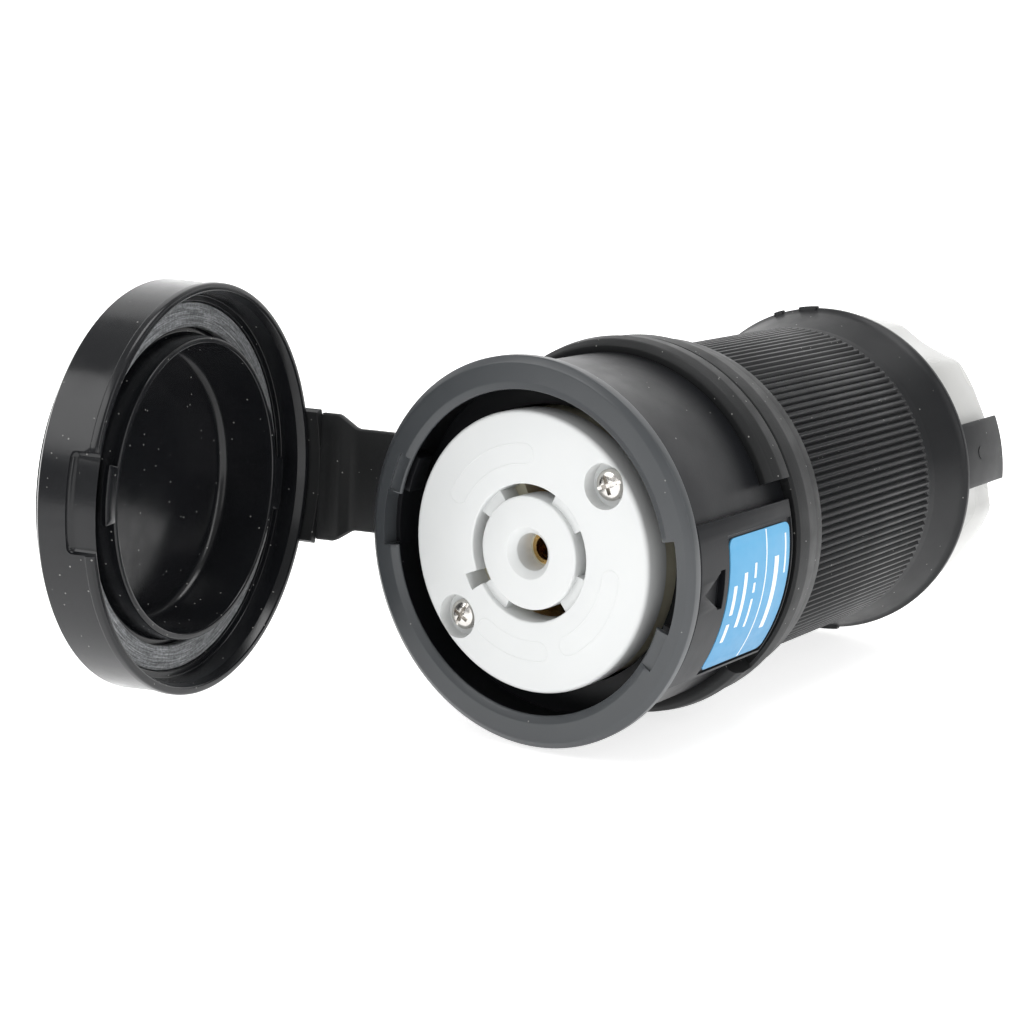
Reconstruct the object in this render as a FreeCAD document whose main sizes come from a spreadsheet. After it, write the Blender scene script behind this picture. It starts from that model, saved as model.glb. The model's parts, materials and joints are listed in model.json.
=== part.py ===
import FreeCAD, Part
import math
import os
import re
import Sketcher

# A watertight locking female cord connector with a hinged closure cap.
# Frame: the connector's axis is Y, its mating face looks towards -Y, its cord leaves
# towards +Y, and the origin is the centre of the white mating face. Millimetres.
# An angle goes round the Y axis, counted from +X towards +Z.

SIZES = [
    # the white mating face and its openings
    ("face_radius", 27.0),
    ("face_depth", 6.0),
    ("slot_inner", 10.9),
    ("slot_outer", 13.2),
    ("notch_outer", 16.0),
    ("centre_hole", 3.6),
    ("screw_circle", 22.5),
    ("screw_head", 2.95),
    ("screw_head_depth", 2.0),
    ("counterbore", 4.3),
    ("counterbore_depth", 3.2),
    ("screw_shank", 1.6),
    # contacts and terminals
    ("carrier_radius", 26.6),
    ("carrier_end", 36.0),
    ("contact_front", 3.0),
    ("contact_end", 30.0),
    ("leaf", 0.6),
    ("socket_bore", 2.4),
    ("socket_radius", 3.2),
    ("socket_end", 26.0),
    ("terminal_circle", 19.0),
    # the shroud
    ("flange_radius", 37.4),
    ("flange_front", -1.5),
    ("flange_back", 1.5),
    ("lip_bore", 31.0),
    ("lip_back", -0.3),
    ("notch_radius", 34.5),
    ("barrel_radius", 35.0),
    ("barrel_bore", 33.0),
    ("barrel_end", 47.0),
    ("pad_radius", 37.0),
    ("pad_start", 2.0),
    ("pad_end", 35.0),
    ("label_radius", 36.9),
    ("label_recess", 36.6),
    ("label_start", 12.0),
    ("label_end", 34.0),
    # the rubber collar and the ribbed sleeve
    ("collar_start", 29.0),
    ("collar_radius", 38.0),
    ("collar_end", 48.0),
    ("collar_back", 36.0),
    ("sleeve_radius", 33.6),
    ("flare_start", 102.0),
    ("flare_radius", 37.0),
    ("sleeve_end", 113.4),
    ("rim_bore", 35.0),
    ("tab_radius", 36.4),
    ("tab_end", 132.0),
    # the inner housing and the cord grip
    ("housing_start", 9.2),
    ("housing_bore", 27.2),
    ("housing_radius", 30.8),
    ("chamber_end", 102.0),
    ("spigot_radius", 29.2),
    ("spigot_end", 127.0),
    ("gland_bore", 22.0),
    ("grommet_front", 106.0),
    ("grommet_end", 126.0),
    ("cord_bore", 8.5),
    ("washer_front", 127.6),
    ("washer_end", 129.2),
    # the cord nut
    ("nut_front", 113.8),
    ("nut_radius", 32.8),
    ("nut_bore", 29.6),
    ("nut_wall_front", 129.6),
    ("nut_end", 134.4),
    ("nut_mouth", 13.0),
    ("wing_start", 121.0),
    ("wing_radius", 34.6),
    # the closure cap, drawn coaxial with the connector, its rim level with cap_rim;
    # its other sizes along the axis are depths behind that rim
    ("cap_rim", -2.5),
    ("cap_radius", 40.2),
    ("cap_bore", 38.3),
    ("cap_depth", 12.1),
    ("cap_shoulder", 5.6),
    ("cup_floor", 14.4),
    ("boss_radius", 31.5),
    ("boss_end", 16.2),
    ("inner_radius", 29.6),
    ("inner_bore", 28.2),
    ("inner_edge", 2.1),
    ("lug_radius", 32.4),
    ("lug_depth", 1.2),
    ("gasket_face", 4.9),
    ("gasket_back", 7.5),
    ("gasket_radius", 36.2),
    ("gasket_bore", 31.2),
    ("thumb_width", 20.0),
    ("thumb_depth", 5.6),
    # the rubber strap
    ("strap_width", 21.6),
    ("strap_head_width", 27.0),
    ("strap_thick", 2.2),
    ("strap_bend", 25.6),
    # the living hinge that the cap swings on
    ("hinge_across", -43.172),
    ("hinge_along", 24.251),
    ("hinge_up", 5.036),
    ("swing_open", 76.858),
]
HINGE_AXIS = FreeCAD.Vector(0.1129, 0.1057, 0.988)
STRAP_ANGLE = 174.5
DATUM_SHIFT = 20.0

VALUE = dict(SIZES)
ALIAS = re.compile(r"\b(" + "|".join(sorted(VALUE, key=len, reverse=True)) + r")\b")

doc = FreeCAD.newDocument("locking_connector")
sheet = doc.addObject("Spreadsheet::Sheet", "Sizes")
for row, (alias, size) in enumerate(SIZES, start=1):
    sheet.set("A%d" % row, alias)
    sheet.set("B%d" % row, str(size))
    sheet.setAlias("B%d" % row, alias)
doc.recompute()

nodes = {}


def bound(formula):
    """The formula with each alias written as a reference to the sheet."""
    return ALIAS.sub(r"Sizes.\1", str(formula))


def number(formula):
    """The formula's value, for geometry that reads the sheet in code."""
    result = ALIAS.sub(lambda m: str(sheet.get(m.group(1))), str(formula))
    total = 0.0
    for sign, term in re.findall(r"([+-]*)\s*([0-9.]+)", result.replace(" ", "")):
        total += float(term) * (-1.0) ** sign.count("-")
    return total


def node(name, obj):
    """Marks an object as the sub-part that parts/NAME.step is written from."""
    obj.Label = name
    nodes[name] = obj
    return obj


def turn_to_y(angle=0.0):
    """A rotation that points a primitive's own Z along Y, its own X at the angle."""
    lay = FreeCAD.Rotation(FreeCAD.Vector(1, 0, 0), -90)
    return lay * FreeCAD.Rotation(FreeCAD.Vector(0, 0, 1), -angle)


def disc(name, radius, start, end, first=0.0, last=360.0):
    """A cylinder, or a sector of one, about Y between two planes and two angles."""
    obj = doc.addObject("Part::Cylinder", name)
    obj.Placement = FreeCAD.Placement(FreeCAD.Vector(), turn_to_y(last))
    obj.Angle = last - first
    obj.setExpression("Radius", bound(radius))
    obj.setExpression("Height", bound("(%s) - (%s)" % (end, start)))
    obj.setExpression("Placement.Base.y", bound(start))
    return obj


def peg(name, radius, circle, angle, start, end):
    """A cylinder parallel to Y, its axis on a circle about Y."""
    obj = doc.addObject("Part::Cylinder", name)
    obj.Placement = FreeCAD.Placement(FreeCAD.Vector(), turn_to_y())
    obj.setExpression("Radius", bound(radius))
    obj.setExpression("Height", bound("(%s) - (%s)" % (end, start)))
    obj.setExpression("Placement.Base.x", bound("(%s) * cos(%s)" % (circle, angle)))
    obj.setExpression("Placement.Base.y", bound(start))
    obj.setExpression("Placement.Base.z", bound("(%s) * sin(%s)" % (circle, angle)))
    return obj


def bar(name, radius, width, height, start, end, angle):
    """A box that stands out along the angle from a radius, as high as given."""
    obj = doc.addObject("Part::Box", name)
    turn = FreeCAD.Rotation(FreeCAD.Vector(0, 1, 0), -angle)
    obj.Placement = FreeCAD.Placement(FreeCAD.Vector(), turn)
    obj.setExpression("Length", bound(height))
    obj.setExpression("Width", bound("(%s) - (%s)" % (end, start)))
    obj.setExpression("Height", bound(width))
    across = "(%s) * cos(%s) + (%s) / 2 * sin(%s)" % (radius, angle, width, angle)
    up = "(%s) * sin(%s) - (%s) / 2 * cos(%s)" % (radius, angle, width, angle)
    obj.setExpression("Placement.Base.x", bound(across))
    obj.setExpression("Placement.Base.y", bound(start))
    obj.setExpression("Placement.Base.z", bound(up))
    return obj


def cut(name, base, tool):
    obj = doc.addObject("Part::Cut", name)
    obj.Base = base
    obj.Tool = tool
    return obj


def fuse(name, shapes):
    obj = doc.addObject("Part::MultiFuse", name)
    obj.Shapes = shapes
    return obj


def group(name, shapes):
    """Separate solids that share one node."""
    obj = doc.addObject("Part::Compound", name)
    obj.Links = shapes
    return obj


def tube(name, radius, bore, start, end, first=0.0, last=360.0):
    outer = disc(name + "_outer", radius, start, end, first, last)
    inner = disc(name + "_inner", bore, "(%s) - 1" % start, "(%s) + 1" % end)
    return cut(name, outer, inner)


def turned(name, profile, rounds=()):
    """A PartDesign body turned about Y from (radius, y) formulas, with rounded rims.

    rounds holds (radius, y, fillet): every circular edge at that radius and y.
    """
    body = doc.addObject("PartDesign::Body", name)
    sketch = body.newObject("Sketcher::SketchObject", name + "_profile")
    plane = [o for o in body.Origin.OriginFeatures if o.Role == "XY_Plane"][0]
    sketch.AttachmentSupport = [(plane, "")]
    sketch.MapMode = "FlatFace"
    sketch.AttachmentOffset.Base = FreeCAD.Vector(0, -DATUM_SHIFT, 0)
    corners = [FreeCAD.Vector(number(r), number(y) + DATUM_SHIFT, 0) for r, y in profile]
    count = len(corners)
    for i in range(count):
        sketch.addGeometry(Part.LineSegment(corners[i], corners[(i + 1) % count]), False)
    for i in range(count):
        sketch.addConstraint(Sketcher.Constraint("Coincident", i, 2, (i + 1) % count, 1))
    for i, (radius, y) in enumerate(profile):
        if number(radius) == 0:
            sketch.addConstraint(Sketcher.Constraint("PointOnObject", i, 1, -2))
        else:
            at = Sketcher.Constraint("DistanceX", -1, 1, i, 1, corners[i].x)
            index = sketch.addConstraint(at)
            sketch.setExpression("Constraints[%d]" % index, bound(radius))
        at = Sketcher.Constraint("DistanceY", -1, 1, i, 1, corners[i].y)
        index = sketch.addConstraint(at)
        height = "(%s) + %g" % (y, DATUM_SHIFT)
        sketch.setExpression("Constraints[%d]" % index, bound(height))
    turn = body.newObject("PartDesign::Revolution", name + "_turn")
    turn.Profile = sketch
    turn.ReferenceAxis = (sketch, ["V_Axis"])
    turn.Angle = 360
    doc.recompute()
    tip = turn
    for k, (radius, y, fillet) in enumerate(rounds):
        edges = []
        for n, edge in enumerate(tip.Shape.Edges, start=1):
            curve = edge.Curve
            if curve.TypeId != "Part::GeomCircle":
                continue
            same = abs(curve.Radius - number(radius)) < 0.01
            if same and abs(curve.Center.y - number(y)) < 0.01:
                edges.append("Edge%d" % n)
        soft = body.newObject("PartDesign::Fillet", "%s_round%d" % (name, k))
        soft.Base = (tip, edges)
        soft.Radius = fillet
        body.Tip = soft
        doc.recompute()
        tip = soft
    return body


def opened(obj):
    """Swings a cap piece from coaxial with the connector to its open rest place."""
    pivot = FreeCAD.Vector(number("hinge_across"), number("hinge_along"), number("hinge_up"))
    swing = FreeCAD.Rotation(HINGE_AXIS, -number("swing_open"))
    obj.Placement = FreeCAD.Placement(pivot - swing.multVec(pivot), swing)
    return obj


def make_face():
    """The white face: four curved slots, a centre hole and two counterbored screws."""
    slots = [(65, 124), (151, 214), (242, 307), (343, 386)]
    disc_face = disc("face_disc", "face_radius", "0", "face_depth")
    tools = []
    for k, (first, last) in enumerate(slots):
        args = ("slot_outer", "slot_inner", "-1", "face_depth + 1", first, last)
        tools.append(tube("slot_%d" % k, *args))
    notch = ("notch_outer", "slot_outer - 0.1", "-1", "face_depth + 1", 202, 214)
    tools.append(tube("slot_notch", *notch))
    tools.append(disc("centre_opening", "centre_hole", "-1", "face_depth + 1"))
    for k, angle in enumerate((40.6, 220.9)):
        at = ("screw_circle", angle)
        tools.append(peg("face_seat_%d" % k, "counterbore", *at, "-1", "counterbore_depth"))
        tools.append(peg("face_hole_%d" % k, "screw_shank", *at, "0", "face_depth + 1"))
    node("mating_face", cut("face_cut", disc_face, fuse("face_tools", tools)))


TERMINAL_ANGLES = (4.5, 67.0, 120.0, 182.5, 274.5)
CONTACT_ANGLES = {"top": 94.5, "left": 182.5, "bottom": 274.5, "right": 4.5}
CONTACT_HALF = 19.0


def make_carrier():
    """The contact carrier behind the face, with a pocket for each contact."""
    core = disc("carrier_core", "carrier_radius", "face_depth", "carrier_end")
    tools = [disc("carrier_socket", "socket_radius", "0", "socket_end")]
    for name, angle in CONTACT_ANGLES.items():
        span = (angle - CONTACT_HALF, angle + CONTACT_HALF)
        pocket = ("slot_outer + leaf", "slot_inner - leaf", "0", "contact_end", *span)
        tools.append(tube("pocket_" + name, *pocket))
    for k, angle in enumerate((40.6, 220.9)):
        hole = ("screw_shank", "screw_circle", angle, "0", "carrier_end + 1")
        tools.append(peg("carrier_hole_%d" % k, *hole))
    for k, angle in enumerate(TERMINAL_ANGLES):
        seat = ("2.6", "terminal_circle", angle, "carrier_end - 8", "carrier_end + 1")
        tools.append(peg("terminal_seat_%d" % k, *seat))
    node("contact_carrier", cut("carrier_cut", core, fuse("carrier_tools", tools)))




def make_contacts():
    """Four double-leaf blade contacts and the round centre contact, all brass."""
    for name, angle in CONTACT_ANGLES.items():
        span = (angle - CONTACT_HALF, angle + CONTACT_HALF)
        label = "contact_" + name
        wide = ("slot_outer + leaf", "slot_outer", "contact_front + 3", "contact_end", *span)
        narrow = ("slot_inner", "slot_inner - leaf", "contact_front + 3", "contact_end", *span)
        heel = ("slot_outer + leaf", "slot_inner - leaf", "contact_end - 2", "contact_end", *span)
        leaves = [tube(label + "_outer", *wide), tube(label + "_inner", *narrow)]
        leaves.append(tube(label + "_heel", *heel))
        node("blade_" + label, fuse(label, leaves))
    shell = disc("socket_shell", "socket_radius", "face_depth", "socket_end")
    bore = disc("socket_hole", "socket_bore", "face_depth - 1", "socket_end - 3")
    node("centre_contact", cut("centre_socket", shell, bore))


def make_terminals():
    """Brass terminal screws and their pressure plates, at the carrier's back."""
    screws = []
    plates = []
    for k, angle in enumerate(TERMINAL_ANGLES):
        shank = peg("terminal_shank_%d" % k, "2.0", "terminal_circle", angle,
                    "carrier_end - 7", "carrier_end + 1.2")
        head = peg("terminal_head_%d" % k, "3.4", "terminal_circle", angle,
                   "carrier_end + 1.2", "carrier_end + 3.4")
        screws.append(fuse("terminal_screw_%d" % k, [shank, head]))
        plate = peg("plate_disc_%d" % k, "4.2", "terminal_circle", angle,
                    "carrier_end", "carrier_end + 1.2")
        hole = peg("plate_hole_%d" % k, "2.0", "terminal_circle", angle,
                   "carrier_end - 1", "carrier_end + 2")
        plates.append(cut("plate_%d" % k, plate, hole))
    node("terminal_screws", group("screw_set", screws))
    node("pressure_plates", group("plate_set", plates))
    hub = disc("barrier_hub", "6.0", "carrier_end", "carrier_end + 12")
    fins = [hub]
    fin_lengths = {35.0: "14.8", 93.5: "22.0", 151.0: "22.0", 228.5: "14.8", 319.5: "22.0"}
    for k, (angle, length) in enumerate(fin_lengths.items()):
        fins.append(bar("barrier_fin_%d" % k, "4.0", "1.4", length,
                        "carrier_end", "carrier_end + 12", angle))
    node("wire_barrier", fuse("barrier", fins))


def make_face_screws():
    """The two long screws that hold the face and the carrier to the housing."""
    screws = []
    for k, angle in enumerate((40.6, 220.9)):
        head = peg("screw_head_%d" % k, "screw_head", "screw_circle", angle,
                   "counterbore_depth - screw_head_depth", "counterbore_depth")
        shank = peg("screw_shank_%d" % k, "screw_shank", "screw_circle", angle,
                    "counterbore_depth", "carrier_end + 8")
        slot = bar("screw_slot_%d" % k, "screw_circle - 3.2", "0.7", "6.4",
                   "counterbore_depth - screw_head_depth - 0.4",
                   "counterbore_depth - screw_head_depth + 0.8", angle)
        screws.append(cut("face_screw_%d" % k, fuse("screw_%d" % k, [head, shank]), slot))
    node("face_screws", group("face_screw_set", screws))


def make_shroud():
    """The front shroud: flange, lip with two bayonet notches, barrel and label pad."""
    profile = [
        ("lip_bore", "flange_front"),
        ("flange_radius", "flange_front"),
        ("flange_radius", "flange_back"),
        ("barrel_radius", "flange_back"),
        ("barrel_radius", "barrel_end"),
        ("barrel_bore", "barrel_end"),
        ("barrel_bore", "lip_back"),
        ("lip_bore", "lip_back"),
    ]
    rounds = [
        ("flange_radius", "flange_front", 0.8),
        ("flange_radius", "flange_back", 0.6),
        ("lip_bore", "flange_front", 0.8),
    ]
    shell = turned("shroud_shell", profile, rounds)
    pad = tube("label_pad", "pad_radius", "barrel_radius - 0.5", "pad_start", "pad_end",
               -36, 14.5)
    whole = fuse("shroud_whole", [shell, pad])
    tools = [tube("label_seat", "pad_radius + 1", "label_recess", "label_start", "label_end",
                  -34, 8.5)]
    for k, (first, last) in enumerate(((-18.0, 11.5), (162.0, 191.5))):
        notch = ("notch_radius", "lip_bore - 2", "flange_front - 1", "lip_back + 2.2")
        tools.append(tube("bayonet_notch_%d" % k, *notch, first, last))
    tools.append(bar("pointer_slot", "pad_radius - 1.2", "7.4", "3", "8.8", "10.2", -5.5))
    body = cut("shroud_open", whole, fuse("shroud_tools", tools))
    ramps = []
    for k, (first, last) in enumerate(((-33.0, -20.0), (147.0, 160.0))):
        ramp = ("barrel_bore + 0.5", "barrel_bore - 1.4", "lip_back + 3.2", "lip_back + 6")
        ramps.append(tube("ramp_%d" % k, *ramp, first, last))
    node("front_shroud", fuse("shroud", [body] + ramps))
    node("rating_label", tube("label", "label_radius", "label_recess",
                              "label_start + 0.2", "label_end - 0.2", -33.7, 8.2))


def make_housing():
    """The inner housing: ledge, wiring chamber, gland seat and threaded spigot."""
    profile = [
        ("housing_bore", "housing_start"),
        ("barrel_bore", "housing_start"),
        ("barrel_bore", "barrel_end"),
        ("housing_radius", "barrel_end"),
        ("housing_radius", "sleeve_end - 1.4"),
        ("spigot_radius", "sleeve_end - 1.4"),
        ("spigot_radius", "spigot_end"),
        ("gland_bore", "spigot_end"),
        ("gland_bore", "grommet_front"),
        ("14.0", "grommet_front"),
        ("14.0", "chamber_end"),
        ("housing_bore", "chamber_end"),
    ]
    node("inner_housing", turned("housing", profile))
    rail = [peg("boss_%d" % k, "3.2", "screw_circle + 0.9", angle, "carrier_end", "carrier_end + 20")
            for k, angle in enumerate((40.6, 220.9))]
    bores = [peg("boss_bore_%d" % k, "screw_shank", "screw_circle", angle, "carrier_end - 1",
                 "carrier_end + 9") for k, angle in enumerate((40.6, 220.9))]
    node("screw_bosses", cut("bosses", group("boss_set", rail), fuse("boss_bores", bores)))


def make_collar():
    """The rubber collar that grips the shroud, its lip cut away beside the pad."""
    profile = [
        ("barrel_radius", "collar_start"),
        ("barrel_radius + 0.6", "collar_start"),
        ("collar_radius", "collar_start + 3"),
        ("collar_radius", "collar_start + 8"),
        ("collar_radius - 0.4", "collar_start + 12"),
        ("collar_back", "collar_end - 0.6"),
        ("collar_back", "collar_end"),
        ("barrel_radius", "collar_end"),
    ]
    ring = turned("collar", profile, [("collar_radius", "collar_start + 3", 2.2)])
    gap = tube("collar_gap", "collar_radius + 3", "barrel_radius - 1",
               "collar_start - 1", "collar_start + 7", -42.5, 20.6)
    node("rubber_collar", cut("collar_cut", ring, gap))
    seal = tube("seal_ring", "barrel_radius", "housing_radius", "barrel_end", "barrel_end + 1")
    node("housing_seal", seal)


def make_sleeve():
    """The ribbed rubber grip with its flared rear rim and the tab on that rim."""
    profile = [
        ("housing_radius", "collar_end"),
        ("sleeve_radius", "collar_end"),
        ("sleeve_radius", "flare_start"),
        ("flare_radius - 0.8", "sleeve_end - 2.4"),
        ("flare_radius", "sleeve_end - 1.4"),
        ("flare_radius", "sleeve_end"),
        ("rim_bore", "sleeve_end"),
        ("rim_bore", "sleeve_end - 1.4"),
        ("housing_radius", "sleeve_end - 1.4"),
    ]
    rounds = [("sleeve_radius", "flare_start", 5.0), ("flare_radius", "sleeve_end", 0.5)]
    grip = turned("grip", profile, rounds)
    tab = tube("tab", "tab_radius", "rim_bore + 0.1", "sleeve_end - 1.4", "tab_end", -1.5, 21.5)
    node("grip_sleeve", fuse("grip_and_tab", [grip, tab]))


def make_gland():
    """The cord grip: a rubber grommet, slit gripping fingers and a thrust washer."""
    node("cord_grommet", tube("grommet", "gland_bore", "cord_bore",
                              "grommet_front + 6", "grommet_end"))
    ring = tube("finger_ring", "gland_bore", "11.0", "grommet_front", "grommet_front + 6")
    slits = [bar("slit_%d" % k, "9.0", "1.2", "16.0", "grommet_front + 2", "grommet_front + 7",
                 60.0 * k) for k in range(6)]
    node("cord_fingers", cut("fingers", ring, fuse("finger_slits", slits)))
    node("thrust_washer", tube("washer", "spigot_radius - 1", "nut_mouth",
                               "washer_front", "washer_end"))


def make_nut():
    """The cord nut: a turned shell with wing lugs round its rear half."""
    profile = [
        ("nut_bore", "nut_front"),
        ("nut_radius", "nut_front"),
        ("nut_radius", "nut_end - 1.2"),
        ("nut_radius - 1.2", "nut_end"),
        ("nut_mouth", "nut_end"),
        ("nut_mouth", "nut_wall_front"),
        ("nut_bore", "nut_wall_front"),
    ]
    shell = turned("nut", profile)
    wings = []
    for k in range(6):
        middle = 46.0 + 60.0 * k
        wing = ("wing_radius", "nut_radius - 0.5", "wing_start", "nut_end - 0.8")
        wings.append(tube("wing_%d" % k, *wing, middle - 5, middle + 2))
    node("cord_nut", fuse("nut_and_wings", [shell] + wings))


def make_cap():
    """The closure cap: skirt, cup, rear boss and two bayonet lugs, with its gasket."""
    profile = [
        ("0", "cap_rim - boss_end"),
        ("0", "cap_rim - cup_floor"),
        ("inner_bore", "cap_rim - cup_floor"),
        ("inner_bore", "cap_rim - inner_edge"),
        ("inner_radius", "cap_rim - inner_edge"),
        ("inner_radius", "cap_rim - gasket_back"),
        ("gasket_radius", "cap_rim - gasket_back"),
        ("gasket_radius", "cap_rim - cap_shoulder"),
        ("cap_bore", "cap_rim - cap_shoulder"),
        ("cap_bore", "cap_rim"),
        ("cap_radius", "cap_rim"),
        ("cap_radius", "cap_rim - cap_depth"),
        ("boss_radius", "cap_rim - cap_depth"),
        ("boss_radius", "cap_rim - boss_end + 1"),
        ("boss_radius + 1.5", "cap_rim - boss_end + 1"),
        ("boss_radius + 1.5", "cap_rim - boss_end"),
    ]
    shell = turned("cap_shell", profile, [("inner_bore", "cap_rim - cup_floor", 2.5)])
    thumb = bar("thumb_notch", "cap_bore - 1", "thumb_width", "4",
                "cap_rim - thumb_depth", "cap_rim + 1", STRAP_ANGLE - 180)
    lugs = []
    for k, middle in enumerate((-3.25, 176.75)):
        lug = ("lug_radius", "inner_radius - 0.5", "cap_rim - inner_edge - lug_depth",
               "cap_rim - inner_edge")
        lugs.append(tube("lug_%d" % k, *lug, middle - 10, middle + 10))
    cap = fuse("cap_whole", [cut("cap_notched", shell, thumb)] + lugs)
    node("closure_cap", opened(cap))
    gasket = tube("gasket", "gasket_radius", "gasket_bore",
                  "cap_rim - gasket_back", "cap_rim - gasket_face")
    node("cap_gasket", opened(gasket))


def strap_section(width, thick, base, out, across):
    """A rectangular wire across the strap, with base at the middle of its inner face."""
    corners = []
    for side, lift in ((-0.5, 0.0), (0.5, 0.0), (0.5, thick), (-0.5, thick)):
        corners.append(base + across * (side * width) + out * lift)
    return Part.makePolygon(corners + [corners[0]])


def strap_half(radius, width):
    """Half the angle that a strap of this width covers at a radius."""
    return math.degrees(math.asin(number(width) / 2 / number(radius)))


def make_strap():
    """The rubber strap: a tail on the shroud, the free band and a ring on the cap."""
    half = strap_half("barrel_radius", "strap_width")
    tail = tube("tail_strip", "barrel_radius + strap_thick", "barrel_radius",
                "strap_bend - strap_thick", "collar_start", STRAP_ANGLE - half, STRAP_ANGLE + half)
    stub = bar("tail_stub", "barrel_radius - 2", "strap_width", "7.2",
               "strap_bend - strap_thick", "strap_bend", STRAP_ANGLE)
    keep = tube("stub_keep", "barrel_radius + 20", "barrel_radius",
                "strap_bend - strap_thick - 1", "strap_bend + 1",
                STRAP_ANGLE - 40, STRAP_ANGLE + 40)
    shaped = doc.addObject("Part::Common", "stub_shaped")
    shaped.Base = stub
    shaped.Tool = keep
    node("strap_tail", fuse("tail", [tail, shaped]))

    ring_back = "cap_rim - boss_end + 1.2"
    ring_front = "cap_rim - cap_depth - 0.25"
    ring = tube("ring_band", "boss_radius + 4.5", "boss_radius + 0.3", ring_back, ring_front)
    half = strap_half("cap_radius", "strap_head_width")
    span = (STRAP_ANGLE - half, STRAP_ANGLE + half)
    link = tube("ring_link", "cap_radius + 0.25 + strap_thick", "boss_radius + 4",
                ring_back, ring_front, *span)
    head = tube("ring_head", "cap_radius + 0.25 + strap_thick", "cap_radius + 0.25",
                ring_back, "cap_rim + 2.0", *span)
    node("strap_ring", opened(fuse("strap_ring_whole", [ring, link, head])))

    turn = math.radians(STRAP_ANGLE)
    radial = FreeCAD.Vector(math.cos(turn), 0, math.sin(turn))
    across = FreeCAD.Vector(-math.sin(turn), 0, math.cos(turn))
    along = FreeCAD.Vector(0, 1, 0)
    thick = number("strap_thick")
    root = radial * (number("barrel_radius") + 5.35)
    root = root + along * (number("strap_bend") - thick)
    first = strap_section(number("strap_width"), thick, root, along, across)
    place = nodes["strap_ring"].Placement
    far = radial * (number("cap_radius") + 0.25) + along * (number("cap_rim") + 2.15)
    last = strap_section(number("strap_head_width"), thick, place.multVec(far),
                         place.Rotation.multVec(radial), place.Rotation.multVec(across))
    band = doc.addObject("Part::Feature", "band")
    band.Shape = Part.makeLoft([first, last], True, True)
    node("strap_band", band)


def check_and_write():
    doc.recompute()
    for obj in doc.Objects:
        bad = [word for word in ("Invalid", "Error") if word in obj.State]
        if bad:
            raise RuntimeError("%s is %s" % (obj.Name, bad))
    for name, obj in nodes.items():
        shape = obj.Shape
        if shape.isNull() or not shape.isValid() or not shape.Solids:
            raise RuntimeError("%s has no valid solid" % name)
    os.makedirs("parts", exist_ok=True)
    for name, obj in sorted(nodes.items()):
        obj.Shape.exportStep("parts/%s.step" % name)
        print("%-20s solids %2d volume %9.1f" % (name, len(obj.Shape.Solids), obj.Shape.Volume))


make_face()
make_carrier()
make_contacts()
make_terminals()
make_face_screws()
make_shroud()
make_housing()
make_collar()
make_sleeve()
make_gland()
make_nut()
make_cap()
make_strap()
check_and_write()
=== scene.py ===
"""A watertight locking cord connector with its closure cap swung open on a rubber strap."""
import bmesh
import bpy
import json
import math
from mathutils import Matrix, Vector


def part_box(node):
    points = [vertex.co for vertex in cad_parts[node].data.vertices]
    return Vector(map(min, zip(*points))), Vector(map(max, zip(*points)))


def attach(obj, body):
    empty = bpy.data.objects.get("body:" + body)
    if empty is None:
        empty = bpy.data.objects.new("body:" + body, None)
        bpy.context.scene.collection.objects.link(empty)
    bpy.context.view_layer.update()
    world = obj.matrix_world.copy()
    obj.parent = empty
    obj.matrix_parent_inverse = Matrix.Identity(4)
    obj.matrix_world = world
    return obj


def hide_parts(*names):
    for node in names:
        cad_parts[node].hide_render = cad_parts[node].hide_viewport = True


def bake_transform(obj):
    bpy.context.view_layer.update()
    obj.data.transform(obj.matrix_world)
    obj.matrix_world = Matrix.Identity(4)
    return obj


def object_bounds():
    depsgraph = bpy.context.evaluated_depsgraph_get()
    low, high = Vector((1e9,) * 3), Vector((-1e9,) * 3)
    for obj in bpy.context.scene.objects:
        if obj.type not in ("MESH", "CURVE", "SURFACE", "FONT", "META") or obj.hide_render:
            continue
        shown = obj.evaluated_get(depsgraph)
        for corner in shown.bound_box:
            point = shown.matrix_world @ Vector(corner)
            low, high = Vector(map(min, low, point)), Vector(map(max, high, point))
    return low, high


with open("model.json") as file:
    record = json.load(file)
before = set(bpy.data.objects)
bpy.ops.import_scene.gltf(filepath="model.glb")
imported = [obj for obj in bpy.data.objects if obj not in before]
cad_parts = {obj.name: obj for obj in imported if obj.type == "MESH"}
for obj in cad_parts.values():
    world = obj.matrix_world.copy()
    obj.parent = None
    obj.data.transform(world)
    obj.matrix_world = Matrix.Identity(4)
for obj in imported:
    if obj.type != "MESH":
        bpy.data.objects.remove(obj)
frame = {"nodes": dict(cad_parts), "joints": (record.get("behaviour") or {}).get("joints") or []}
cad_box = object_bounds()

MM = 0.001
STEPS = 192
ARC_STEPS = 5
JOINTS = {joint["name"]: joint for joint in frame["joints"]}


def reach(node):
    """(lowest corner, highest corner) of a CAD node in millimetres."""
    low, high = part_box(node)
    return low / MM, high / MM


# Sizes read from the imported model, in millimetres.
FACE_R = reach("mating_face")[1].x
FACE_BACK = reach("mating_face")[1].y
FLANGE_FRONT = reach("front_shroud")[0].y
FLANGE_R = reach("front_shroud")[1].z
BARREL_END = reach("front_shroud")[1].y
COLLAR_START, COLLAR_END = (corner.y for corner in reach("rubber_collar"))
COLLAR_R = reach("rubber_collar")[1].z
BARREL_R = reach("housing_seal")[1].x
SLEEVE_R = BARREL_R - 1.4
SLEEVE_START = reach("grip_sleeve")[0].y
TAB_END = reach("grip_sleeve")[1].y
FLARE_R = reach("grip_sleeve")[1].z
NUT_FRONT, NUT_END = (corner.y for corner in reach("cord_nut"))
SLEEVE_END = NUT_FRONT - 0.4
LABEL_START, LABEL_END = (corner.y for corner in reach("rating_label"))

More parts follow.
